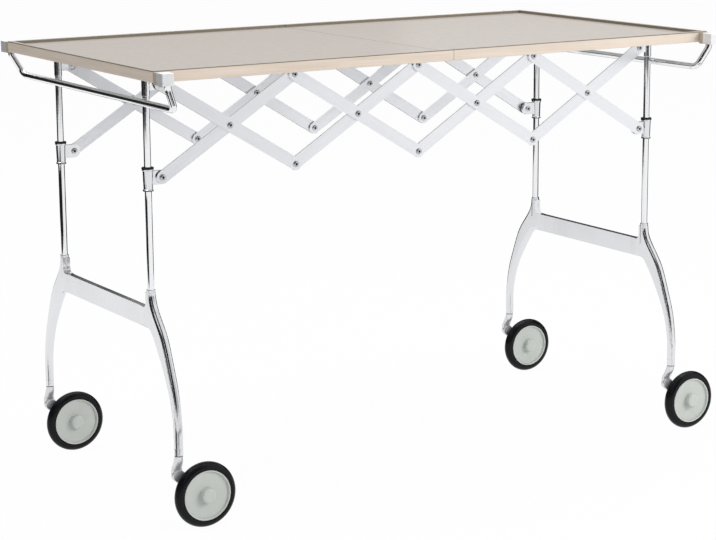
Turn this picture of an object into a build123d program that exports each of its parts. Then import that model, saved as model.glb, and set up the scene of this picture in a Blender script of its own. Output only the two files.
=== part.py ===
"""Folding serving cart: two leg frames on casters, joined by lazy-tongs scissors under a two-leaf tray top."""
import os
from math import hypot, pi, sin
from build123d import *

os.makedirs("parts", exist_ok=True)

# Tray top: two leaves that meet at a seam in the middle of the cart
tray_length = 980.0
tray_depth = 500.0
tray_height = 662.0
rim_height = 16.5
rail_width = 14.0
rim_wall = 5.0
rim_corner_radius = 2.5
ledge_height = 8.5
panel_thickness = 3.5
lip_thickness = 1.6
lip_width = 7.0
seam_gap = 1.0

# Leg frames: posts, sockets, crossbar and bowed legs
post_spacing_x = 903.4
post_spacing_y = 298.4
post_radius = 5.0
post_wall = 1.2
socket_radius = 6.5
socket_top = 339.0
socket_depth = 30.0
crossbar_top = 312.0
crossbar_height = 29.0
crossbar_thickness = 9.0
crossbar_blend = 18.0
leg_thickness = 12.0
leg_root_width = 48.0
leg_foot_width = 12.0
leg_foot_spacing = 448.0
leg_foot_height = 114.0
leg_bow_share = 0.85
leg_edge_radius = 4.5

# Scissors: flat links in two layers on the outer side of the posts
joint_pitch = 107.7
joint_drop = 65.9
upper_joint_drop = 31.2
scissor_plane = 151.5
link_width = 18.6
link_thickness = 2.5
link_layers_gap = 0.3
pivot_radius = 2.5
rivet_head_radius = 4.6
rivet_head_height = 1.3
rivet_socket_radius = 2.2
rivet_socket_depth = 0.8
units = 4

# Sleeves that slide on the posts, and the fixed heads on top of them
sleeve_height = 33.0
sleeve_above_pivot = 15.0
sleeve_top_radius = 7.4
sleeve_bottom_radius = 6.6
flange_radius = 8.4
flange_height = 3.4
foot_lip = 0.7
foot_lip_height = 2.2
ear_radius = 10.0
ear_thickness = 5.2
head_radius = 5.8
head_height = 30.0
head_cap = 3.0
lug_radius = 8.0

# End handles and the corner blocks that carry the leaves
handle_radius = 5.0
handle_drop = 54.5
handle_bend_radius = 14.0
handle_neck_radius = 16.0
handle_stud_radius = 3.0
neck_inset = 3.7
neck_lean = 11.0
block_length = 18.5
block_width = 28.0
block_groove_place = 8.7
block_groove_width = 1.0
block_groove_depth = 0.7
block_height = 17.0
block_drop = 1.5
block_edge_radius = 1.6
handle_seat_depth = 8.0
leaf_pin_radius = 3.0
leaf_pin_drop = 12.0
leaf_pin_reach = 10.0
leaf_pin_seat = 4.0

# Seam hinges under the middle of the tray
hinge_spacing = 220.0
hinge_width = 60.0
hinge_leaf_length = 24.0
hinge_leaf_thickness = 1.5
knuckle_radius = 3.0
hinge_pin_radius = 1.5

# Casters
wheel_radius = 48.0
wheel_width = 17.0
hub_radius = 36.7
hub_ring_width = 2.8
hub_recess = 3.0
hub_cap_radius = 11.0
hub_cap_height = 10.0
caster_trail = 42.5
wheel_offset = 4.0
axle_radius = 4.0
arm_thickness = 7.0
arm_boss_radius = 11.0
arm_width = 18.0
arm_edge_radius = 1.6
knee_drop = 33.5
knee_shift = 5.6
stem_radius = 3.5
stem_length = 20.0
swivel_groove = 1.3
swivel_shoulder_radius = 4.6
# Sections of the arm's shank: depth, shift along X, share of the way to the arm's plane, half sizes in X and Y
shank_sections = (
    (0.0, 0.0, 0.0, 6.0, 6.0),
    (10.0, 1.6, 0.33, 7.0, 5.9),
    (18.0, 3.2, 0.7, 7.8, 5.0),
    (25.0, 4.6, 1.0, 8.6, 4.0),
    (33.5, 5.6, 1.0, 9.0, 3.5),
)

# Clearances
running_gap = 0.08
seat_gap = 0.05
face_gap = 0.3
wheel_gap = 0.7

# Places that follow from the sizes above
ENDS = {"left": -1, "right": 1}
SIDES = {"front": -1, "back": 1}
half_length = tray_length / 2
half_depth = tray_depth / 2
post_x = post_spacing_x / 2
post_y = post_spacing_y / 2
middle_x = -(post_x + caster_trail + wheel_radius - half_length) / 2
tray_bottom = tray_height - rim_height
ledge_top = tray_bottom + ledge_height
lip_bottom = tray_height - lip_thickness
panel_top = ledge_top + panel_thickness
half_link = hypot(joint_pitch, joint_drop)
ear_x = units * joint_pitch
upper_joint_height = tray_height - upper_joint_drop
lower_joint_height = upper_joint_height - 2 * joint_drop
block_x = half_length - block_length / 2
block_inner_y = half_depth + face_gap
block_y = block_inner_y + block_width / 2
neck_y = block_inner_y + (block_groove_place + block_width) / 2
block_top = tray_height - block_drop
leaf_pin_height = tray_height - leaf_pin_drop
handle_height = tray_height - handle_drop
handle_x = post_x + post_radius + handle_radius + face_gap
hinge_axis_height = tray_bottom - knuckle_radius
inner_layer = scissor_plane
outer_layer = scissor_plane + link_thickness + link_layers_gap
lug_face = scissor_plane - face_gap
foot_y = leg_foot_spacing / 2
hub_width = wheel_width - 1.0


def end_x(end, distance):
    """World X of a point that lies a distance from the middle of the cart, towards one end."""
    return middle_x + ENDS[end] * distance


def side_y(side, distance):
    """World Y of a point that lies a distance from the middle of the cart, towards one side."""
    return SIDES[side] * distance


def save(builder, name):
    """Label a finished piece and write it to its own file."""
    builder.part.label = name
    export_step(builder.part, f"parts/{name}.step")


def leg_station(share, edge):
    """A point on the leg's outline, by its share of the way down; edge is 1 outside, -1 inside."""
    bow = min(share / leg_bow_share, 1.0)
    centre = post_y + (foot_y - post_y) * sin(pi / 2 * bow)
    half_width = leg_foot_width / 2 + (leg_root_width - leg_foot_width) / 2 * (1 - bow) ** 2
    height = crossbar_top - share * (crossbar_top - leg_foot_height)
    return (centre + edge * half_width, height)


def make_leg_casting(end):
    """Cast leg frame: a crossbar, two bowed legs, two sockets for the posts and a bore for each caster."""
    x = end_x(end, post_x)
    crossbar_bottom = crossbar_top - crossbar_height
    stations = (0.16, 0.36, 0.6, 0.8, 1.0)
    socket_inside = (post_y - socket_radius, socket_top - 4)
    socket_outside = (post_y + socket_radius, socket_top - 4)
    outer = [socket_outside, (post_y + socket_radius + 8, crossbar_top)]
    outer += [leg_station(share, 1) for share in stations]
    inner = [leg_station(share, -1) for share in reversed(stations[1:])]
    inner += [leg_station(0.18, -1), (post_y - 13, crossbar_bottom)]
    blend_start = post_y - 13 - crossbar_blend
    with BuildPart() as casting:
        for mirrored in (1, -1):
            with BuildSketch(Plane.YZ.offset(x - leg_thickness / 2)):
                with BuildLine():
                    Spline(*[(mirrored * y, z) for y, z in outer], tangents=((0, -1), (0, -1)))
                    Line((mirrored * outer[-1][0], outer[-1][1]), (mirrored * inner[0][0], inner[0][1]))
                    Spline(*[(mirrored * y, z) for y, z in inner], tangents=((0, 1), (-mirrored, 0)))
                    Polyline(
                        (mirrored * inner[-1][0], crossbar_bottom),
                        (mirrored * blend_start, crossbar_bottom),
                        (mirrored * blend_start, crossbar_top),
                        (mirrored * inner[-1][0], crossbar_top),
                    )
                    Spline(
                        (mirrored * inner[-1][0], crossbar_top),
                        (mirrored * socket_inside[0], socket_inside[1]),
                        tangents=((mirrored, 0.15), (0, 1)),
                    )
                    Line(
                        (mirrored * socket_inside[0], socket_inside[1]),
                        (mirrored * socket_outside[0], socket_outside[1]),
                    )
                make_face()
            extrude(amount=leg_thickness)
        curved_edges = casting.edges().filter_by(GeomType.BSPLINE)
        fillet(curved_edges.filter_by(lambda edge: edge.length > leg_root_width), leg_edge_radius)
        with BuildSketch(Plane.XY.offset(crossbar_top + 0.5)):
            for mirrored in (1, -1):
                for face in (1, -1):
                    with BuildLine():
                        Polyline(
                            (x + face * crossbar_thickness / 2, mirrored * blend_start),
                            (x + face * leg_thickness, mirrored * blend_start),
                            (x + face * leg_thickness, mirrored * (blend_start + crossbar_blend)),
                            (x + face * leg_thickness / 2, mirrored * (blend_start + crossbar_blend)),
                            close=True,
                        )
                    make_face()
        extrude(amount=-(crossbar_height + 1), mode=Mode.SUBTRACT)
        with BuildSketch(Plane.YZ.offset(x - crossbar_thickness / 2)):
            with Locations((0, crossbar_top - crossbar_height / 2)):
                Rectangle(2 * (post_y - socket_radius), crossbar_height)
        extrude(amount=crossbar_thickness)
        with BuildSketch(Plane.XY.offset(socket_top)):
            with Locations((x, post_y), (x, -post_y)):
                Circle(socket_radius)
        extrude(amount=-(socket_depth + 4))
        with BuildSketch(Plane.XY.offset(leg_foot_height)):
            with Locations((x, foot_y), (x, -foot_y)):
                Circle(leg_foot_width / 2 + 0.4)
        extrude(amount=stem_length / 2)
        with BuildSketch(Plane.XY.offset(socket_top)):
            with Locations((x, post_y), (x, -post_y)):
                Circle(post_radius + seat_gap)
        extrude(amount=-socket_depth, mode=Mode.SUBTRACT)
        with BuildSketch(Plane.XY.offset(leg_foot_height)):
            with Locations((x, foot_y), (x, -foot_y)):
                Circle(stem_radius + running_gap)
        extrude(amount=stem_length + 2, mode=Mode.SUBTRACT)
    save(casting, f"{end}_leg_casting")


def make_post(end, side):
    """Tube post: seated in the casting's socket, with a cross hole for the handle's stud."""
    x = end_x(end, post_x)
    y = side_y(side, post_y)
    bottom = socket_top - socket_depth
    top = tray_bottom - face_gap - head_cap
    with BuildPart() as post:
        with BuildSketch(Plane.XY.offset(bottom)):
            with Locations((x, y)):
                Circle(post_radius)
                Circle(post_radius - post_wall, mode=Mode.SUBTRACT)
        extrude(amount=top - bottom)
        with BuildSketch(Plane.YZ.offset(x)):
            with Locations((y, handle_height)):
                Circle(handle_stud_radius + seat_gap)
        extrude(amount=ENDS[end] * (post_radius + 1), mode=Mode.SUBTRACT)
    save(post, f"{end}_{side}_post")


def pivot_stud(x, z, side, layer_start, layer_end):
    """Shouldered stud that stands out of a lug face, passes one link layer and ends in a head."""
    sign = SIDES[side]
    outward = Plane(origin=(x, 0, z), x_dir=(1, 0, 0), z_dir=(0, sign, 0))
    if layer_start > lug_face + 2 * face_gap:
        with BuildSketch(outward.offset(lug_face)) as spacer:
            Circle(rivet_head_radius)
        extrude(spacer.sketch, amount=layer_start - face_gap - lug_face)
    with BuildSketch(outward.offset(lug_face - ear_thickness / 2)) as shank:
        Circle(pivot_radius)
    extrude(shank.sketch, amount=layer_end + face_gap - lug_face + ear_thickness / 2)
    with BuildSketch(outward.offset(layer_end + face_gap)) as rivet_head:
        Circle(rivet_head_radius)
    extrude(rivet_head.sketch, amount=rivet_head_height, taper=25)
    with BuildSketch(outward.offset(layer_end + face_gap + rivet_head_height)) as socket:
        Circle(rivet_socket_radius)
    extrude(socket.sketch, amount=-rivet_socket_depth, mode=Mode.SUBTRACT)


def lug_plate(x, z, side, end, radius):
    """Flat lug from a post towards the middle of the cart, rounded about its pivot."""
    reach = abs(end_x(end, post_x) - x)
    plane = Plane(origin=(x, 0, z), x_dir=(ENDS[end], 0, 0), z_dir=(0, SIDES[side], 0))
    with BuildSketch(plane.offset(lug_face)) as outline:
        Circle(radius)
        with Locations((reach / 2, 0)):
            Rectangle(reach, 2 * radius)
    extrude(outline.sketch, amount=-ear_thickness)


def make_post_head(end, side):
    """Cap on top of a post, with the lug and stud that hold the scissors' upper end."""
    x = end_x(end, post_x)
    y = side_y(side, post_y)
    pivot_x = end_x(end, ear_x)
    top = tray_bottom - face_gap
    first_layer = outer_layer if end == "left" else inner_layer
    with BuildPart() as head:
        with BuildSketch(Plane.XY.offset(top)):
            with Locations((x, y)):
                Circle(head_radius)
        extrude(amount=-head_height)
        fillet(head.edges().filter_by(GeomType.CIRCLE), 0.8)
        lug_plate(pivot_x, upper_joint_height, side, end, lug_radius)
        pivot_stud(pivot_x, upper_joint_height, side, first_layer, first_layer + link_thickness)
        with BuildSketch(Plane.XY.offset(top - head_cap)):
            with Locations((x, y)):
                Circle(post_radius + seat_gap)
        extrude(amount=-head_height, mode=Mode.SUBTRACT)
    save(head, f"{end}_{side}_post_head")


def make_sleeve(end, side):
    """Sleeve that slides on a post, with a flange on top and an ear for the scissors' lower end."""
    x = end_x(end, post_x)
    y = side_y(side, post_y)
    pivot_x = end_x(end, ear_x)
    top = lower_joint_height + sleeve_above_pivot
    bottom = top - sleeve_height
    first_layer = inner_layer if end == "left" else outer_layer
    with BuildPart() as sleeve:
        with BuildSketch(Plane(origin=(x, y, 0), x_dir=(1, 0, 0), z_dir=(0, -1, 0))):
            with BuildLine():
                Polyline(
                    (0, bottom),
                    (sleeve_bottom_radius + foot_lip, bottom),
                    (sleeve_bottom_radius + foot_lip, bottom + foot_lip_height),
                    (sleeve_bottom_radius, bottom + foot_lip_height + foot_lip),
                    (sleeve_top_radius, top - flange_height - 1),
                    (flange_radius, top - flange_height),
                    (flange_radius, top - 0.8),
                    (flange_radius - 0.8, top),
                    (0, top),
                    close=True,
                )
            make_face()
        revolve(axis=Axis((x, y, 0), (0, 0, 1)))
        lug_plate(pivot_x, lower_joint_height, side, end, ear_radius)
        pivot_stud(pivot_x, lower_joint_height, side, first_layer, first_layer + link_thickness)
        with BuildSketch(Plane.XY.offset(bottom)):
            with Locations((x, y)):
                Circle(post_radius + running_gap)
        extrude(amount=sleeve_height, mode=Mode.SUBTRACT)
    save(sleeve, f"{end}_{side}_sleeve")


def link_plane(unit, side, falling):
    """Plane of one link: origin at its middle crossing, x along the link, z outwards from the cart."""
    sign = SIDES[side]
    middle = (middle_x + (2 * unit - units + 1) * joint_pitch, 0, upper_joint_height - joint_drop)
    rise = -joint_drop if falling else joint_drop
    return Plane(origin=middle, x_dir=(joint_pitch, 0, rise), z_dir=(0, sign, 0))


def rivet_head(plane, places, height):
    """Tapered rivet heads with a socket in the middle, standing on a plane."""
    with BuildSketch(plane) as heads:
        with Locations(*places):
            Circle(rivet_head_radius)
    extrude(heads.sketch, amount=height, taper=25)
    with BuildSketch(plane.offset(height)) as sockets:
        with Locations(*places):
            Circle(rivet_socket_radius)
    depth = -rivet_socket_depth if height > 0 else rivet_socket_depth
    extrude(sockets.sketch, amount=depth, mode=Mode.SUBTRACT)


def make_link(unit, side, falling):
    """One flat link. Falling links carry the rivets; at the scissors' middle each link has only its own head."""
    plane = link_plane(unit, side, falling)
    layer = outer_layer if falling else inner_layer
    holes = {-half_link, 0.0, half_link}
    inner_ends = set()
    if unit > 0:
        inner_ends.add(-half_link)
    if unit < units - 1:
        inner_ends.add(half_link)
    open_ends = {half_link} if unit == units / 2 - 1 else {-half_link} if unit == units / 2 else set()
    rivets = ({0.0} | inner_ends) - open_ends if falling else set()
    with BuildPart() as link:
        with BuildSketch(plane.offset(layer)):
            SlotCenterToCenter(2 * half_link, link_width)
            with Locations(*[(place, 0) for place in holes - rivets - open_ends]):
                Circle(pivot_radius + running_gap, mode=Mode.SUBTRACT)
        extrude(amount=link_thickness)
        if falling:
            through = [(place, 0) for place in rivets]
            with BuildSketch(plane.offset(layer)):
                with Locations(*through):
                    Circle(pivot_radius)
            extrude(amount=-(link_layers_gap + link_thickness + face_gap))
            rivet_head(plane.offset(layer + link_thickness), [(place, 0) for place in rivets | open_ends], rivet_head_height)
            rivet_head(plane.offset(inner_layer - face_gap), through, -rivet_head_height)
        elif open_ends:
            rivet_head(plane.offset(inner_layer), [(place, 0) for place in open_ends], -rivet_head_height)
    kind = "drop" if falling else "rise"
    save(link, f"{side}_{kind}_link_{unit + 1}")


def make_handle(end):
    """Bent round rod: from one corner block down, across in front of both posts, and up to the other."""
    rod_x = end_x(end, handle_x)
    neck_x = end_x(end, block_x - neck_inset)
    neck_top = block_top - block_height + handle_seat_depth
    neck_bottom = block_top - block_height - 4
    corner_y = neck_y - neck_lean
    path_points = [
        (neck_x, -neck_y, neck_top),
        (neck_x, -neck_y, neck_bottom),
        (rod_x, -corner_y, handle_height),
        (rod_x, corner_y, handle_height),
        (neck_x, neck_y, neck_bottom),
        (neck_x, neck_y, neck_top),
    ]
    bends = [handle_neck_radius, handle_bend_radius, handle_bend_radius, handle_neck_radius]
    inward = -ENDS[end]
    with BuildPart() as handle:
        with BuildLine() as path:
            FilletPolyline(*path_points, radius=bends)
        with BuildSketch(Plane(origin=path_points[0], z_dir=(0, 0, -1))):
            Circle(handle_radius)
        sweep(path=path.wires()[0])
        with BuildSketch(Plane.YZ.offset(rod_x)):
            with Locations((post_y, handle_height), (-post_y, handle_height)):
                Circle(handle_stud_radius)
        extrude(amount=inward * (handle_radius + face_gap + post_wall + 1))
    save(handle, f"{end}_handle")


def make_corner_blocks(end):
    """Pair of polished blocks beside the tray's corners: seats for the handle below and the leaf's pins inside."""
    x = end_x(end, block_x)
    neck_x = end_x(end, block_x - neck_inset)
    with BuildPart() as blocks:
        with BuildSketch(Plane.XY.offset(block_top)):
            with Locations((x, block_y), (x, -block_y)):
                RectangleRounded(block_length, block_width, block_edge_radius)
        extrude(amount=-block_height)
        fillet(blocks.faces().group_by(Axis.Z)[-1].edges(), 0.8)
        for sign in SIDES.values():
            with BuildSketch(Plane.XZ.offset(-sign * (block_inner_y + block_groove_place))):
                with Locations((x, block_top - block_height / 2)):
                    Rectangle(2 * block_length, 2 * block_height)
                    Rectangle(
                        block_length - 2 * block_groove_depth,
                        block_height - 2 * block_groove_depth,
                        mode=Mode.SUBTRACT,
                    )
            extrude(amount=-sign * block_groove_width, mode=Mode.SUBTRACT)
        with BuildSketch(Plane.XY.offset(block_top - block_height)):
            with Locations((neck_x, neck_y), (neck_x, -neck_y)):
                Circle(handle_radius + seat_gap)
        extrude(amount=handle_seat_depth, mode=Mode.SUBTRACT)
        for sign in SIDES.values():
            with BuildSketch(Plane.XZ.offset(-sign * block_inner_y)):
                with Locations((x, leaf_pin_height)):
                    Circle(leaf_pin_radius + seat_gap)
            extrude(amount=-sign * leaf_pin_seat, mode=Mode.SUBTRACT)
    save(blocks, f"{end}_corner_blocks")


def make_leaf_pins(end):
    """Pair of pins, fixed in the corner blocks, on which the outer end of a leaf turns."""
    x = end_x(end, block_x)
    outer_y = block_inner_y + leaf_pin_seat
    with BuildPart() as pins:
        for sign in SIDES.values():
            with BuildSketch(Plane.XZ.offset(-sign * outer_y)):
                with Locations((x, leaf_pin_height)):
                    Circle(leaf_pin_radius)
            extrude(amount=sign * (outer_y - half_depth + leaf_pin_reach))
    save(pins, f"{end}_leaf_pins")


def make_tray_rim(end):
    """Frame of one leaf: four rails below the panel and a low wall on the three outer sides."""
    sign = ENDS[end]
    length = half_length - seam_gap / 2
    centre = end_x(end, seam_gap / 2 + length / 2)
    pin_x = end_x(end, block_x)
    with BuildPart() as rim:
        with BuildSketch(Plane.XY.offset(tray_bottom)):
            with Locations((centre, 0)):
                Rectangle(length, tray_depth)
                Rectangle(length - 2 * rail_width, tray_depth - 2 * rail_width, mode=Mode.SUBTRACT)
        extrude(amount=ledge_height)
        with BuildSketch(Plane.XY.offset(ledge_top)):
            with Locations((centre, 0)):
                Rectangle(length, tray_depth)
            with Locations((centre - sign * rim_wall, 0)):
                Rectangle(length, tray_depth - 2 * rim_wall, mode=Mode.SUBTRACT)
        extrude(amount=lip_bottom - ledge_top)
        outer_corners = rim.edges().filter_by(Axis.Z).group_by(Axis.X)[-1 if sign > 0 else 0]
        fillet(outer_corners, rim_corner_radius)
        fillet(rim.faces().sort_by(Axis.Z)[0].outer_wire().edges(), 1.0)
        for side in SIDES.values():
            with BuildSketch(Plane.XZ.offset(-side * half_depth)):
                with Locations((pin_x, leaf_pin_height)):
                    Circle(leaf_pin_radius + running_gap)
            extrude(amount=side * (leaf_pin_reach + 1), mode=Mode.SUBTRACT)
    save(rim, f"{end}_tray_rim")


def make_tray_panel(end):
    """Panel of one leaf: a flat floor inside the rim, with a lip that stands up and covers the rim's top."""
    sign = ENDS[end]
    length = half_length - seam_gap / 2
    centre = end_x(end, seam_gap / 2 + length / 2)
    floor_shift = rim_wall + seat_gap
    with BuildPart() as panel:
        with BuildSketch(Plane.XY.offset(ledge_top)):
            with Locations((centre - sign * floor_shift / 2, 0)):
                Rectangle(length - floor_shift, tray_depth - 2 * floor_shift)
        extrude(amount=lip_bottom - ledge_top)
        with BuildSketch(Plane.XY.offset(lip_bottom)):
            with Locations((centre, 0)):
                Rectangle(length, tray_depth)
        extrude(amount=lip_thickness)
        outer_corners = panel.edges().filter_by(Axis.Z).group_by(Axis.X)[-1 if sign > 0 else 0]
        fillet(outer_corners, rim_corner_radius)
        with BuildSketch(Plane.XY.offset(panel_top)):
            with Locations((centre - sign * lip_width, 0)):
                Rectangle(length, tray_depth - 2 * lip_width)
        extrude(amount=tray_height - panel_top, mode=Mode.SUBTRACT)
        fillet(panel.faces().sort_by(Axis.Z)[-1].outer_wire().edges(), 0.6)
    save(panel, f"{end}_tray_panel")


def make_seam_hinges(end):
    """One half of both seam hinges: a leaf plate under the rail and its knuckles about the hinge axis."""
    sign = ENDS[end]
    knuckle = hinge_width / 3
    own = (-knuckle, knuckle) if end == "left" else (0.0,)
    plate_start = knuckle_radius + 0.4
    with BuildPart() as hinge:
        for middle_y in (-hinge_spacing / 2, hinge_spacing / 2):
            plate_centre = middle_x + sign * (plate_start + hinge_leaf_length / 2)
            with BuildSketch(Plane.XY.offset(tray_bottom)):
                with Locations((plate_centre, middle_y)):
                    Rectangle(hinge_leaf_length, hinge_width)
            extrude(amount=-hinge_leaf_thickness)
            for place in own:
                start = middle_y + place - knuckle / 2 + 0.2
                with BuildSketch(Plane.XZ.offset(-start)):
                    with Locations((middle_x, hinge_axis_height)):
                        Circle(knuckle_radius)
                    with Locations((middle_x + sign * plate_start / 2, tray_bottom - hinge_leaf_thickness / 2)):
                        Rectangle(plate_start + 0.2, hinge_leaf_thickness)
                    with Locations((middle_x, hinge_axis_height)):
                        Circle(hinge_pin_radius + running_gap, mode=Mode.SUBTRACT)
                extrude(amount=-(knuckle - 0.4))
    save(hinge, f"{end}_seam_hinge")


def make_hinge_pins():
    """Pins of the two seam hinges."""
    with BuildPart() as pins:
        for middle_y in (-hinge_spacing / 2, hinge_spacing / 2):
            with BuildSketch(Plane.XZ.offset(-(middle_y - hinge_width / 2))):
                with Locations((middle_x, hinge_axis_height)):
                    Circle(hinge_pin_radius)
            extrude(amount=-hinge_width)
    save(pins, "seam_hinge_pins")


def make_caster(end, side):
    """One swivel caster: cranked arm with its stem, axle, hub and tyre; every wheel trails to the right."""
    x = end_x(end, post_x)
    y = side_y(side, foot_y)
    name = f"{end}_{side}"
    wheel_x = x + caster_trail
    wheel_y = y + wheel_offset
    wheel_axis = Axis((wheel_x, wheel_y, wheel_radius), (0, 1, 0))
    arm_inner = wheel_y + wheel_width / 2 + wheel_gap
    arm_middle = arm_inner + arm_thickness / 2
    arm_top = leg_foot_height - swivel_groove
    knee = Vector(x + knee_shift, arm_inner, arm_top - knee_drop)
    span = Vector(wheel_x, arm_inner, wheel_radius) - knee
    arm_plane = Plane(origin=knee + span / 2, x_dir=span, z_dir=(0, -1, 0))
    wheel_plane = Plane(origin=(wheel_x, wheel_y, wheel_radius), x_dir=(0, 1, 0), z_dir=(1, 0, 0))
    with BuildPart() as arm:
        with BuildSketch(arm_plane):
            SlotCenterToCenter(span.length, arm_width)
            with Locations((span.length / 2, 0)):
                Circle(arm_boss_radius)
        extrude(amount=-arm_thickness)
        fillet(arm.faces().filter_by(Axis.Y).edges(), arm_edge_radius)
        for depth, shift, share, half_x, half_y in shank_sections:
            with BuildSketch(Plane.XY.offset(arm_top - depth)):
                with Locations((x + shift, y + share * (arm_middle - y))):
                    Ellipse(half_x, half_y)
        loft()
        with BuildSketch(Plane.XY.offset(arm_top)):
            with Locations((x, y)):
                Circle(swivel_shoulder_radius)
        extrude(amount=swivel_groove - face_gap)
        with BuildSketch(Plane.XY.offset(arm_top)):
            with Locations((x, y)):
                Circle(stem_radius)
        extrude(amount=stem_length)
        with BuildSketch(Plane.XZ.offset(-arm_inner)):
            with Locations((wheel_x, wheel_radius)):
                Circle(axle_radius + seat_gap)
        extrude(amount=-arm_thickness, mode=Mode.SUBTRACT)
    save(arm, f"{name}_caster_arm")

    blind_end = wheel_y - wheel_width / 2 + hub_recess + 3
    axle_end = arm_inner + arm_thickness
    with BuildPart() as axle:
        with BuildSketch(Plane.XZ.offset(-blind_end)):
            with Locations((wheel_x, wheel_radius)):
                Circle(axle_radius)
        extrude(amount=-(axle_end - blind_end))
        with BuildSketch(Plane.XZ.offset(-axle_end)):
            with Locations((wheel_x, wheel_radius)):
                Circle(axle_radius + 2.5)
        extrude(amount=-1.8, taper=20)
    save(axle, f"{name}_axle")

    front = -hub_width / 2
    with BuildPart() as hub:
        with BuildSketch(wheel_plane):
            with BuildLine():
                Polyline(
                    (front - 0.5, hub_radius),
                    (hub_width / 2, hub_radius),
                    (hub_width / 2, axle_radius + running_gap),
                    (blind_end - wheel_y - 0.5, axle_radius + running_gap),
                    (blind_end - wheel_y - 0.5, 0),
                    (front + hub_recess - hub_cap_height, 0),
                    (front + hub_recess - hub_cap_height, hub_cap_radius - 3),
                    (front + hub_recess - hub_cap_height + 0.8, hub_cap_radius - 1),
                    (front + hub_recess - hub_cap_height + 2.2, hub_cap_radius),
                    (front + hub_recess, hub_cap_radius + 0.4),
                    (front + hub_recess, hub_radius - hub_ring_width),
                    (front - 0.2, hub_radius - hub_ring_width + 1),
                    (front - 0.5, hub_radius - 1),
                    close=True,
                )
            make_face()
        revolve(axis=wheel_axis)
    save(hub, f"{name}_hub")

    half_width = wheel_width / 2
    shoulder = hub_radius + 5
    with BuildPart() as tyre:
        with BuildSketch(wheel_plane):
            with BuildLine():
                Line((-half_width + 1, hub_radius), (-half_width, hub_radius + 1.5))
                Line((-half_width, hub_radius + 1.5), (-half_width, shoulder))
                ThreePointArc((-half_width, shoulder), (0, wheel_radius), (half_width, shoulder))
                Line((half_width, shoulder), (half_width, hub_radius + 1.5))
                Line((half_width, hub_radius + 1.5), (half_width - 1, hub_radius))
                Line((half_width - 1, hub_radius), (-half_width + 1, hub_radius))
            make_face()
        revolve(axis=wheel_axis)
    save(tyre, f"{name}_tyre")


for end_name in ENDS:
    make_leg_casting(end_name)
    make_handle(end_name)
    make_corner_blocks(end_name)
    make_leaf_pins(end_name)
    make_tray_rim(end_name)
    make_tray_panel(end_name)
    make_seam_hinges(end_name)
    for side_name in SIDES:
        make_post(end_name, side_name)
        make_post_head(end_name, side_name)
        make_sleeve(end_name, side_name)
        make_caster(end_name, side_name)
make_hinge_pins()
for side_name in SIDES:
    for unit_index in range(units):
        make_link(unit_index, side_name, falling=True)
        make_link(unit_index, side_name, falling=False)
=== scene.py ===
"""Looks of the folding serving cart: materials, small fittings, studio and camera."""
import math

import bpy
import bmesh
from mathutils import Matrix, Vector


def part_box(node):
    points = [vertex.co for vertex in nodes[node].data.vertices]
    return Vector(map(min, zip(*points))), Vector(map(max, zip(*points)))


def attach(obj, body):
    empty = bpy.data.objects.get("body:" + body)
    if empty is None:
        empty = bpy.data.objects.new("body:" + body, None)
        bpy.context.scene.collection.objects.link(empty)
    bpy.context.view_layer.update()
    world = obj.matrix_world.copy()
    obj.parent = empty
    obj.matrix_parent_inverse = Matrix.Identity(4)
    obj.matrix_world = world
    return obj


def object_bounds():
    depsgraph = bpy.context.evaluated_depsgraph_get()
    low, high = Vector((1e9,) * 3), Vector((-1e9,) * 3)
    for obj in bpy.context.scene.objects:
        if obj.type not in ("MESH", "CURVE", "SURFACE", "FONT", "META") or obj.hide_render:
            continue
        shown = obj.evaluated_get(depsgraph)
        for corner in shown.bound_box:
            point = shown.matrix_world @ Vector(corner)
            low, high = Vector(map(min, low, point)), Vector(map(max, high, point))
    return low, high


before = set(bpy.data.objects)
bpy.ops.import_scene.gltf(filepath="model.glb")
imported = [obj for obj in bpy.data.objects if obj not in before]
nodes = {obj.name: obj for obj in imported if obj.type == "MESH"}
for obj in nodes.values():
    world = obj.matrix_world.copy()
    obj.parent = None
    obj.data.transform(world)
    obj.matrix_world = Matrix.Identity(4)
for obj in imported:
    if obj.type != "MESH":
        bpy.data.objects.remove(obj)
cad_low, cad_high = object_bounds()
scene = bpy.context.scene
scene.view_settings.view_transform = "Standard"


def srgb(r, g, b):
    """A colour as it is seen on screen, 0 to 255, as linear values."""
    def linear(value):
        value /= 255
        return value / 12.92 if value <= 0.04045 else ((value + 0.055) / 1.055) ** 2.4
    return (linear(r), linear(g), linear(b), 1.0)


# Sockets of a Mix node that mixes colours
mix_factor, mix_first_colour, mix_second_colour, mixed_colour = 0, 6, 7, 2


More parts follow.
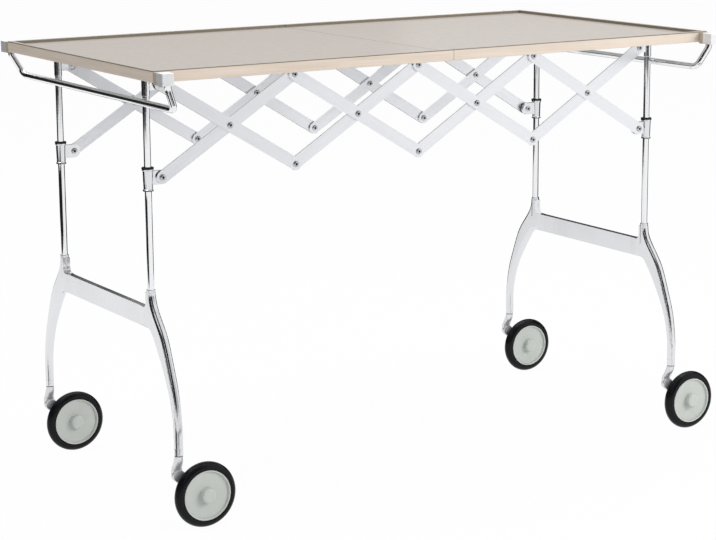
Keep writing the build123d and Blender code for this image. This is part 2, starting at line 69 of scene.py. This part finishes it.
class Look:
    """A procedural material that is built up node by node."""

    def __init__(self, name, colour, roughness, metallic=0.0):
        self.material = bpy.data.materials.new(name)
        self.material.use_nodes = True
        self.tree = self.material.node_tree
        self.shader = self.tree.nodes["Principled BSDF"]
        self.shader.inputs["Base Color"].default_value = colour
        self.shader.inputs["Roughness"].default_value = roughness
        self.shader.inputs["Metallic"].default_value = metallic
        self.coordinates = self.tree.nodes.new("ShaderNodeTexCoord")

    def link(self, source, target):
        self.tree.links.new(source, target)

    def mapping(self, scale, turn=(0, 0, 0)):
        node = self.tree.nodes.new("ShaderNodeMapping")
        node.vector_type = "TEXTURE"
        node.inputs["Rotation"].default_value = turn
        node.inputs["Scale"].default_value = scale
        self.link(self.coordinates.outputs["Object"], node.inputs["Vector"])
        return node.outputs["Vector"]

    def noise(self, scale, detail=3.0, stretch=(1, 1, 1), turn=(0, 0, 0)):
        node = self.tree.nodes.new("ShaderNodeTexNoise")
        node.inputs["Scale"].default_value = scale
        node.inputs["Detail"].default_value = detail
        self.link(self.mapping(stretch, turn), node.inputs["Vector"])
        return node.outputs["Fac"]

    def spread(self, value, low, high, start=0.3, end=0.7):
        node = self.tree.nodes.new("ShaderNodeMapRange")
        node.inputs["From Min"].default_value = start
        node.inputs["From Max"].default_value = end
        node.inputs["To Min"].default_value = low
        node.inputs["To Max"].default_value = high
        self.link(value, node.inputs["Value"])
        return node.outputs["Result"]

    def blend(self, factor, first, second):
        node = self.tree.nodes.new("ShaderNodeMix")
        node.data_type = "RGBA"
        self.link(factor, node.inputs[mix_factor])
        for index, value in ((mix_first_colour, first), (mix_second_colour, second)):
            socket = node.inputs[index]
            if isinstance(value, tuple):
                socket.default_value = value
            else:
                self.link(value, socket)
        return node.outputs[mixed_colour]

    def part_of(self, output, axis):
        """One component of the surface's normal or of its place, in the object's own axes."""
        split = self.tree.nodes.new("ShaderNodeSeparateXYZ")
        self.link(self.coordinates.outputs[output], split.inputs["Vector"])
        return split.outputs[axis]

    def size_of(self, value):
        node = self.tree.nodes.new("ShaderNodeMath")
        node.operation = "ABSOLUTE"
        self.link(value, node.inputs[0])
        return node.outputs[0]

    def faces_along(self, axis):
        """1 on faces that look along one of the object's own axes, 0 on the others."""
        return self.spread(self.size_of(self.part_of("Normal", axis)), 0, 1, 0.6, 0.8)

    def faces_down(self):
        return self.spread(self.part_of("Normal", "Z"), 0, 1, -0.6, -0.8)

    def tint(self, factor, first, second):
        node = self.tree.nodes.new("ShaderNodeValToRGB")
        node.color_ramp.elements[0].color = first
        node.color_ramp.elements[1].color = second
        self.link(factor, node.inputs["Fac"])
        return node.outputs["Color"]

    def set_colour(self, value):
        self.link(value, self.shader.inputs["Base Color"])

    def set_roughness(self, value):
        self.link(value, self.shader.inputs["Roughness"])

    def bump(self, height, strength, distance):
        node = self.tree.nodes.new("ShaderNodeBump")
        node.inputs["Strength"].default_value = strength
        node.inputs["Distance"].default_value = distance
        self.link(height, node.inputs["Height"])
        self.link(node.outputs["Normal"], self.shader.inputs["Normal"])


def shade(colour, factor):
    return tuple(min(1.0, c * factor) for c in colour[:3]) + (1.0,)


def chrome_look():
    colour = (0.88, 0.885, 0.9, 1)
    look = Look("chromed_tube", colour, 0.08, 1.0)
    smear = look.noise(38.0, 4.0)
    look.set_roughness(look.spread(smear, 0.06, 0.11))
    look.set_colour(look.tint(look.noise(12.0), shade(colour, 0.97), shade(colour, 1.02)))
    return look.material


def casting_look():
    colour = (0.78, 0.785, 0.81, 1)
    look = Look("polished_casting", colour, 0.18, 1.0)
    look.set_roughness(look.spread(look.noise(9.0, 2.0), 0.16, 0.21))
    look.set_colour(look.tint(look.noise(7.0, 2.0), shade(colour, 0.97), shade(colour, 1.03)))
    return look.material


def arm_look():
    """Cast arm under clear lacquer: paler and less mirror-like than the legs."""
    colour = (0.8, 0.805, 0.825, 1)
    look = Look("caster_arm", colour, 0.3, 0.6)
    look.set_roughness(look.spread(look.noise(14.0, 2.0), 0.27, 0.34))
    look.set_colour(look.tint(look.noise(11.0, 2.0), shade(colour, 0.97), shade(colour, 1.03)))
    return look.material


def block_look(seat_edge):
    """Satin block; inside of seat_edge it is a moulded seat in the rim's colour."""
    metal = (0.93, 0.935, 0.955, 1)
    seat = srgb(184, 174, 157)
    edge_width = 0.0002
    look = Look("corner_block", metal, 0.45, 1.0)
    from_middle = look.size_of(look.part_of("Object", "Y"))
    outside = look.spread(from_middle, 0, 1, seat_edge, seat_edge + edge_width)
    grain = look.noise(60.0, 3.0)
    shaded = look.tint(grain, shade(metal, 0.98), shade(metal, 1.02))
    look.set_colour(look.blend(outside, seat, shaded))
    look.link(look.spread(outside, 0, 0.6), look.shader.inputs["Metallic"])
    look.set_roughness(look.spread(grain, 0.43, 0.48))
    return look.material


def link_look(name, colour, turn):
    """Flat faces brushed along the link, cut edges bright and sharper."""
    look = Look(name, colour, 0.35, 1.0)
    lines = look.noise(900.0, 2.0, stretch=(60, 1, 1), turn=(0, turn, 0))
    brushed = look.spread(lines, 0.28, 0.38)
    smooth = look.spread(lines, 0.1, 0.14)
    pick = look.tree.nodes.new("ShaderNodeMix")
    look.link(look.faces_along("Y"), pick.inputs["Factor"])
    look.link(smooth, pick.inputs["A"])
    look.link(brushed, pick.inputs["B"])
    look.set_roughness(pick.outputs["Result"])
    look.set_colour(look.tint(look.noise(14.0), shade(colour, 0.98), shade(colour, 1.015)))
    return look.material


def fitting_look():
    colour = (0.78, 0.79, 0.81, 1)
    look = Look("satin_fitting", colour, 0.15, 1.0)
    look.set_roughness(look.spread(look.noise(30.0, 2.0), 0.13, 0.18))
    look.set_colour(look.tint(look.noise(20.0, 2.0), shade(colour, 0.97), shade(colour, 1.03)))
    return look.material


def wood_grain(look, along_x, light, dark):
    """Long fine streaks and a broad soft figure along one direction."""
    narrow, broad = 30, 8
    streaks = look.noise(260.0, 4.0, stretch=(narrow, 1, 1) if along_x else (1, narrow, 1))
    figure = look.noise(16.0, 2.0, stretch=(broad, 1, 1) if along_x else (1, broad, 1))
    fine = look.tint(look.spread(streaks, 0, 1), dark, light)
    return streaks, look.blend(look.spread(figure, 0.0, 0.6), fine, shade(light, 1.04))


def wood_look():
    light = srgb(234, 220, 206)
    dark = srgb(216, 199, 182)
    under = srgb(198, 197, 194)
    look = Look("pale_wood", light, 0.45)
    streaks_x, colour_x = wood_grain(look, True, light, dark)
    streaks_y, colour_y = wood_grain(look, False, light, dark)
    around = look.blend(look.faces_along("X"), colour_x, colour_y)
    look.set_colour(look.blend(look.faces_down(), around, under))
    look.set_roughness(look.spread(streaks_x, 0.38, 0.55))
    look.bump(streaks_x, 0.06, 0.0003)
    return look.material


def panel_look():
    """Satin laminate: taupe on top, dark olive painted shade on its upright faces, pale grey
    underneath.
    """
    colour = srgb(172, 163, 154)
    # Painted shade: the dark olive stands in for the shadow along the lip walls and edges of the
    # panel.
    edge = srgb(132, 124, 110)
    under = srgb(196, 196, 194)
    look = Look("taupe_panel", colour, 0.34)
    speck = look.noise(1400.0, 2.0)
    cloud = look.noise(6.0, 3.0)
    fine = look.tint(look.spread(speck, 0, 1), shade(colour, 0.96), shade(colour, 1.04))
    top = look.blend(look.spread(cloud, 0.0, 0.5), fine, shade(colour, 1.03))
    # Painted shade on the upright faces, taupe on the others.
    faces = look.blend(look.faces_along("Z"), edge, top)
    look.set_colour(look.blend(look.faces_down(), faces, under))
    look.set_roughness(look.spread(look.noise(90.0, 4.0), 0.3, 0.38))
    look.bump(speck, 0.04, 0.0001)
    return look.material


def tyre_look():
    colour = (0.006, 0.0065, 0.0075, 1)
    look = Look("tyre", colour, 0.25)
    look.shader.inputs["Specular IOR Level"].default_value = 0.15
    grain = look.noise(500.0, 3.0)
    look.set_roughness(look.spread(look.noise(60.0, 3.0), 0.2, 0.3))
    look.set_colour(look.tint(grain, shade(colour, 0.8), shade(colour, 1.5)))
    look.bump(grain, 0.03, 0.0002)
    return look.material


def hub_look():
    colour = srgb(204, 208, 203)
    look = Look("hub", colour, 0.32)
    grain = look.noise(700.0, 2.0)
    look.set_colour(look.tint(look.noise(30.0), shade(colour, 0.96), shade(colour, 1.03)))
    look.set_roughness(look.spread(grain, 0.28, 0.4))
    look.bump(grain, 0.05, 0.0002)
    return look.material


def steel_look():
    colour = (0.62, 0.63, 0.65, 1)
    look = Look("steel", colour, 0.25, 1.0)
    look.set_roughness(look.spread(look.noise(220.0, 3.0), 0.18, 0.34))
    look.set_colour(look.tint(look.noise(40.0), shade(colour, 0.9), shade(colour, 1.06)))
    return look.material


def dark_look(name, colour, roughness):
    """Black bushings and washers, the painted shade ring round each sleeve foot, and the painted
    shade inside the sockets of the screws.
    """
    look = Look(name, colour, roughness)
    look.shader.inputs["Specular IOR Level"].default_value = 0.2
    grain = look.noise(900.0, 2.0)
    look.set_colour(look.tint(grain, shade(colour, 0.8), shade(colour, 1.4)))
    look.set_roughness(look.spread(grain, roughness, roughness + 0.15))
    return look.material


link_half_rise, link_half_run = 0.0659, 0.1077
link_tilt = math.atan2(link_half_rise, link_half_run)
link_colour = (0.905, 0.915, 0.945, 1)
rim_edge_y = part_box("left_tray_rim")[1].y
block_seat_width = 0.009
looks = {
    "chrome": chrome_look(),
    "casting": casting_look(),
    "arm": arm_look(),
    "drop_link": link_look("satin_drop_link", link_colour, link_tilt),
    "rise_link": link_look("satin_rise_link", link_colour, -link_tilt),
    "fitting": fitting_look(),
    "block": block_look(rim_edge_y + block_seat_width),
    "wood": wood_look(),
    "panel": panel_look(),
    "tyre": tyre_look(),
    "hub": hub_look(),
    "steel": steel_look(),
    # Painted shade: near black inside the screw sockets, where the recess is shaded.
    "socket": dark_look("painted_socket_shade", (0.02, 0.02, 0.021, 1), 0.5),
    # Black bushings and washers; also the painted shade ring at each sleeve foot.
    "bushing": dark_look("bushing", (0.012, 0.012, 0.013, 1), 0.4),
}


def look_of(name):
    endings = (
        ("_post", "chrome"), ("_handle", "chrome"), ("_corner_blocks", "block"),
        ("_leg_casting", "casting"), ("_caster_arm", "arm"),
        ("_sleeve", "fitting"), ("_post_head", "chrome"),
        ("_axle", "steel"), ("_pins", "steel"), ("_seam_hinge", "steel"),
        ("_tray_rim", "wood"), ("_tray_panel", "panel"), ("_tyre", "tyre"), ("_hub", "hub"),
    )
    if "_drop_link_" in name:
        return "drop_link"
    if "_rise_link_" in name:
        return "rise_link"
    return next(look for ending, look in endings if name.endswith(ending))


for name, node in nodes.items():
    node.data.materials.clear()
    node.data.materials.append(looks[look_of(name)])


# Small fittings: socket screws on the scissors, black caps and washers, painted shade rings at the
# sleeve feet, hinge screws
screw_sides = 36
screw_radius = 0.0049
screw_height = 0.0017
socket_apothem = 0.00186
socket_depth = 0.0011
link_end_radius = 0.0093
link_thickness = 0.0025
layer_gap = 0.0003
ear_thickness = 0.0052
sharp_angle = math.radians(38)
units = 4
sides = {"front": -1, "back": 1}


def hexagon(angle):
    """Distance from the middle to the side of the socket, at an angle."""
    sixth = math.pi / 3
    return socket_apothem / math.cos((angle + sixth / 2) % sixth - sixth / 2)


def add_screw(mesh, place, outward, scale=1.0):
    """Button head with a hexagon socket; place is the middle of its seat."""
    crown = [
        (1.0, 0.0), (1.0, 0.2), (0.965, 0.42), (0.87, 0.68), (0.72, 0.88), (0.56, 1.0),
    ]
    turned = outward.to_track_quat("Z", "Y").to_matrix().to_4x4()
    frame_of_head = Matrix.Translation(place) @ turned
    angles = [2 * math.pi * index / screw_sides for index in range(screw_sides)]
    rings = [[(share * screw_radius, high * screw_height) for _ in angles] for share, high in crown]
    for depth in (0.0, socket_depth):
        rings.append([(hexagon(angle), screw_height - depth) for angle in angles])
    rows = []
    for ring in rings:
        row = []
        for angle, (radius, height) in zip(angles, ring):
            point = Vector((radius * math.cos(angle), radius * math.sin(angle), height)) * scale
            row.append(mesh.verts.new(frame_of_head @ point))
        rows.append(row)
    for low, high in zip(rows, rows[1:]):
        for index in range(screw_sides):
            after = (index + 1) % screw_sides
            face = mesh.faces.new((low[index], low[after], high[after], high[index]))
            # Material 1 on the socket's walls and floor is painted shade.
            face.material_index = 1 if high is rows[-1] else 0
    mesh.faces.new(rows[-1]).material_index = 1
    mesh.faces.new(rows[0][::-1])


def add_ring(mesh, place, profile, steps=48):
    """Closed ring about an upright axis; profile is a loop of (radius, height)."""
    rows = []
    for index in range(steps):
        angle = 2 * math.pi * index / steps
        rows.append([
            mesh.verts.new(place + Vector((r * math.cos(angle), r * math.sin(angle), height)))
            for r, height in profile
        ])
    for index in range(steps):
        row, after = rows[index], rows[(index + 1) % steps]
        for corner in range(len(profile)):
            other = (corner + 1) % len(profile)
            mesh.faces.new((row[corner], after[corner], after[other], row[other]))


def add_piece(name, mesh, body, piece_looks):
    bmesh.ops.recalc_face_normals(mesh, faces=mesh.faces)
    data = bpy.data.meshes.new(name)
    mesh.to_mesh(data)
    mesh.free()
    for polygon in data.polygons:
        polygon.use_smooth = True
    data.set_sharp_from_angle(angle=sharp_angle)
    for look in piece_looks:
        data.materials.append(looks[look])
    piece = bpy.data.objects.new(name, data)
    scene.collection.objects.link(piece)
    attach(piece, body)


def link_points(name):
    """Left, right, bottom and top of the pivots at the ends of a link, from its box."""
    low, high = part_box(name)
    left, right = low.x + link_end_radius, high.x - link_end_radius
    bottom, top = low.z + link_end_radius, high.z - link_end_radius
    return left, right, bottom, top


inner_face = min(abs(corner.y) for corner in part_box("back_rise_link_1"))
outer_face = inner_face + 2 * link_thickness + layer_gap
ear_face = inner_face - layer_gap - ear_thickness


def link_screws():
    """Outer and inner heads of every joint; a middle joint has one head on each of its links."""
    for unit in range(1, units + 1):
        falling, rising = bmesh.new(), bmesh.new()
        left, right, bottom, top = link_points(f"back_drop_link_{unit}")
        joints = [(left, top), ((left + right) / 2, (bottom + top) / 2), (right, bottom)]
        joints = joints[0 if unit > 1 else 1:3 if unit < units else 2]
        open_end = {units / 2: joints[-1], units / 2 + 1: joints[0]}.get(unit)
        for sign in sides.values():
            outward = Vector((0, sign, 0))
            for x, z in joints:
                add_screw(falling, Vector((x, sign * outer_face, z)), outward)
                if (x, z) != open_end:
                    seat = sign * (inner_face - layer_gap)
                    add_screw(falling, Vector((x, seat, z)), -outward)
            if open_end:
                x, z = open_end
                add_screw(rising, Vector((x, sign * inner_face, bottom + top - z)), -outward)
        body = f"drop_link_{unit}"
        add_piece(f"{body}_screws", falling, body, ("steel", "socket"))
        if open_end:
            body = f"rise_link_{unit}"
            add_piece(f"{body}_screws", rising, body, ("steel", "socket"))
        else:
            rising.free()


def stud_screws():
    """Heads on both sides of the lugs and ears that hold the four ends of each pair of scissors."""
    first, last = link_points("back_drop_link_1"), link_points(f"back_drop_link_{units}")
    spots = {"left": (first[0], False), "right": (last[1], True)}
    for end, (x, sleeve_outside) in spots.items():
        for body, z, outside in (
            (f"{end}_frame", first[3], not sleeve_outside),
            (f"{end}_sleeves", first[2], sleeve_outside),
        ):
            mesh = bmesh.new()
            head = (outer_face if outside else inner_face + link_thickness) + layer_gap
            for sign in sides.values():
                outward = Vector((0, sign, 0))
                add_screw(mesh, Vector((x, sign * head, z)), outward)
                add_screw(mesh, Vector((x, sign * ear_face, z)), -outward)
            add_piece(f"{body}_screws", mesh, body, ("steel", "socket"))


def sleeve_caps_and_foot_shade():
    """Black plastic cap over the flange of each sleeve, and a thin black ring of painted shade round
    its foot.
    """
    bore, flange, wall = 0.0052, 0.00845, 0.0003
    height, skirt, rounding = 0.001, 0.0019, 0.0006
    cap = [
        (bore, 0.0), (flange, 0.0), (flange, -skirt), (flange + wall, -skirt),
        (flange + wall, height - rounding), (flange + wall - rounding, height), (bore, height),
    ]
    # Painted shade: the foot ring is a black band standing in for the thin shadow line at the foot of
    # the sleeve.
    foot, foot_height = 0.00735, 0.0012
    foot_shade_ring = [
        (foot, 0.0), (foot + wall, 0.0), (foot + wall, foot_height), (foot, foot_height),
    ]
    for end in ("left", "right"):
        mesh = bmesh.new()
        for side in sides:
            low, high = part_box(f"{end}_{side}_post")
            axis_x, axis_y = (low.x + high.x) / 2, (low.y + high.y) / 2
            bottom, top = (corner.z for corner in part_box(f"{end}_{side}_sleeve"))
            add_ring(mesh, Vector((axis_x, axis_y, top)), cap)
            add_ring(mesh, Vector((axis_x, axis_y, bottom)), foot_shade_ring)
        add_piece(f"{end}_caps_and_foot_shade", mesh, f"{end}_sleeves", ("bushing",))


def swivel_washers():
    """Black washer in the gap between each leg and the caster arm under it."""
    bore, outside, thickness, clearance, foot_y = 0.0047, 0.0058, 0.0011, 0.0001, 0.224
    profile = [(bore, -thickness), (outside, -thickness), (outside, 0.0), (bore, 0.0)]
    for end in ("left", "right"):
        mesh = bmesh.new()
        low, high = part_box(f"{end}_back_post")
        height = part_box(f"{end}_leg_casting")[0].z - clearance
        for sign in sides.values():
            add_ring(mesh, Vector(((low.x + high.x) / 2, sign * foot_y, height)), profile)
        add_piece(f"{end}_swivel_washers", mesh, f"{end}_frame", ("bushing",))


def hinge_screws():
    """Three small screws in each leaf plate of the seam hinges."""
    inset, spacing, plate_thickness, plate_y, scale = 0.008, 0.02, 0.0015, 0.11, 0.55
    under_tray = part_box("left_tray_rim")[0].z - plate_thickness
    for end, corner, sign in (("left", 0, 1), ("right", 1, -1)):
        mesh = bmesh.new()
        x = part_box(f"{end}_seam_hinge")[corner].x + sign * inset
        for y in (-plate_y, plate_y):
            for step in (-1, 0, 1):
                seat = Vector((x, y + step * spacing, under_tray))
                add_screw(mesh, seat, Vector((0, 0, -1)), scale)
        add_piece(f"{end}_hinge_screws", mesh, f"{end}_leaf", ("steel", "socket"))


link_screws()
stud_screws()
sleeve_caps_and_foot_shade()
swivel_washers()
hinge_screws()


# Studio: pale floor, white surroundings, soft lamps, dark cards for the reflections
def background_rays(tree):
    """1 for the rays that show the background: straight to the camera, in gloss and through glass."""
    path = tree.nodes.new("ShaderNodeLightPath")
    value = path.outputs["Is Camera Ray"]
    for kind in ("Is Glossy Ray", "Is Transmission Ray"):
        either = tree.nodes.new("ShaderNodeMath")
        either.operation = "MAXIMUM"
        tree.links.new(value, either.inputs[0])
        tree.links.new(path.outputs[kind], either.inputs[1])
        value = either.outputs[0]
    return value


def floor_material():
    """White where it is seen, with a trace of the diffuse floor that keeps the shadow."""
    glow_share = 0.97
    material = bpy.data.materials.new("floor")
    material.use_nodes = True
    tree = material.node_tree
    tree.nodes.clear()
    output = tree.nodes.new("ShaderNodeOutputMaterial")
    diffuse = tree.nodes.new("ShaderNodeBsdfDiffuse")
    diffuse.inputs["Color"].default_value = (0.9, 0.9, 0.9, 1)
    glow = tree.nodes.new("ShaderNodeEmission")
    glow.inputs["Color"].default_value = (1, 1, 1, 1)
    glow.inputs["Strength"].default_value = 1.0
    seen = background_rays(tree)
    share = tree.nodes.new("ShaderNodeMath")
    share.operation = "MULTIPLY"
    share.inputs[1].default_value = glow_share
    tree.links.new(seen, share.inputs[0])
    mix = tree.nodes.new("ShaderNodeMixShader")
    tree.links.new(share.outputs[0], mix.inputs["Fac"])
    tree.links.new(diffuse.outputs[0], mix.inputs[1])
    tree.links.new(glow.outputs[0], mix.inputs[2])
    tree.links.new(mix.outputs[0], output.inputs["Surface"])
    return material


floor_mesh = bpy.data.meshes.new("floor")
half_floor, floor_gap = 30.0, 0.0005
floor_corners = [(-1, -1), (1, -1), (1, 1), (-1, 1)]
floor_mesh.from_pydata(
    [(x * half_floor, y * half_floor, 0) for x, y in floor_corners], [], [(0, 1, 2, 3)],
)
floor = bpy.data.objects.new("floor", floor_mesh)
scene.collection.objects.link(floor)
floor_mesh.materials.append(floor_material())
floor.location.z = cad_low.z - floor_gap


def make_world():
    world = bpy.data.worlds.new("studio")
    scene.world = world
    world.use_nodes = True
    tree = world.node_tree
    tree.nodes.clear()
    output = tree.nodes.new("ShaderNodeOutputWorld")
    light = tree.nodes.new("ShaderNodeBackground")
    light.inputs["Color"].default_value = (1, 1, 1, 1)
    light.inputs["Strength"].default_value = 0.45
    seen = tree.nodes.new("ShaderNodeBackground")
    seen.inputs["Color"].default_value = (1, 1, 1, 1)
    seen.inputs["Strength"].default_value = 1.0
    mix = tree.nodes.new("ShaderNodeMixShader")
    tree.links.new(background_rays(tree), mix.inputs["Fac"])
    tree.links.new(light.outputs[0], mix.inputs[1])
    tree.links.new(seen.outputs[0], mix.inputs[2])
    tree.links.new(mix.outputs[0], output.inputs["Surface"])


make_world()


def area_lamp(name, place, target, size, power, glossy=True):
    data = bpy.data.lights.new(name, "AREA")
    data.shape = "RECTANGLE"
    data.size, data.size_y = size
    data.energy = power
    lamp = bpy.data.objects.new(name, data)
    lamp.location = place
    lamp.rotation_euler = (Vector(target) - Vector(place)).to_track_quat("-Z", "Y").to_euler()
    lamp.visible_camera = False
    lamp.visible_glossy = glossy
    scene.collection.objects.link(lamp)


area_lamp("key", (1.9, -2.9, 1.9), (0, 0, 0.45), (2.2, 1.8), 62, glossy=False)
area_lamp("top", (0, 0.2, 3.0), (0, 0, 0), (2.8, 1.8), 46)
area_lamp("side", (-2.1, -2.2, 1.5), (-0.4, -0.2, 0.1), (0.15, 1.0), 2)


def add_card(name, points, faces):
    """Black card of the set that shows only in gloss."""
    mesh = bpy.data.meshes.new(name)
    mesh.from_pydata(points, [], faces)
    card = bpy.data.objects.new(name, mesh)
    scene.collection.objects.link(card)
    material = bpy.data.materials.new(name)
    material.use_nodes = True
    shader = material.node_tree.nodes["Principled BSDF"]
    shader.inputs["Base Color"].default_value = (0.02, 0.02, 0.022, 1)
    shader.inputs["Roughness"].default_value = 1.0
    shader.inputs["Specular IOR Level"].default_value = 0.0
    mesh.materials.append(material)
    card.visible_camera = False
    card.visible_diffuse = False
    card.visible_transmission = False
    card.visible_shadow = False


def wall_card(name, start, end, radius, low, high):
    """Upright card on an arc round the set; angles in degrees from +X."""
    steps = 48
    points = []
    for index in range(steps + 1):
        angle = math.radians(start + (end - start) * index / steps)
        x, y = radius * math.cos(angle), radius * math.sin(angle)
        points += [(x, y, low), (x, y, high)]
    faces = [(first, first + 2, first + 3, first + 1) for first in range(0, 2 * steps, 2)]
    add_card(name, points, faces)


def flat_card(name, left, right, near, far, height=0.002):
    corners = ((left, near), (right, near), (right, far), (left, far))
    add_card(name, [(x, y, height) for x, y in corners], [(0, 1, 2, 3)])


wall_card("card_back", -20, 100, 1.2, 0.0, 0.73)
wall_card("card_back_left", 56, 100, 2.4, 0.73, 0.98)
wall_card("card_left_back", 100, 172, 2.4, 0.0, 2.0)
wall_card("card_left_low", 151, 200, 0.75, 0.29, 0.43)
wall_card("card_left", 172, 228, 2.4, 0.295, 2.0)
wall_card("card_front", 205, 287, 3.5, 0.18, 3.4)
flat_card("card_floor_left", -1.3, -0.78, -0.6, 0.05)
flat_card("card_floor_front", -0.35, 0.6, -1.15, -0.8)
flat_card("card_floor_leg", -0.75, -0.38, -0.85, -0.62)
flat_card("card_roof", -1.4, 0.7, -3.3, -1.15, 3.0)


# Camera, solved from the photograph
camera_data = bpy.data.cameras.new("camera")
camera = bpy.data.objects.new("camera", camera_data)
scene.collection.objects.link(camera)
cart_middle_x = (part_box("left_tray_rim")[0].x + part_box("right_tray_rim")[1].x) / 2
right = Vector((0.842571, -0.538559, -0.005139))
up = Vector((0.106133, 0.156672, 0.981931))
forward = Vector((0.528023, 0.827893, -0.189166))
turn = Matrix((right, up, -forward)).transposed()
place = Vector((cart_middle_x - 1.69749, -2.70754, 0.96803))
camera.matrix_world = Matrix.Translation(place) @ turn.to_4x4()
image_width, image_height = 716, 540
focal_length, centre_x, centre_y = 2041.2, 380, 230  # pixels of the image
camera_data.sensor_width = 36.0
camera_data.lens = focal_length / image_width * camera_data.sensor_width
camera_data.shift_x = (image_width / 2 - centre_x) / image_width
camera_data.shift_y = (centre_y - image_height / 2) / image_width
camera_data.clip_end = 200.0
scene.camera = camera
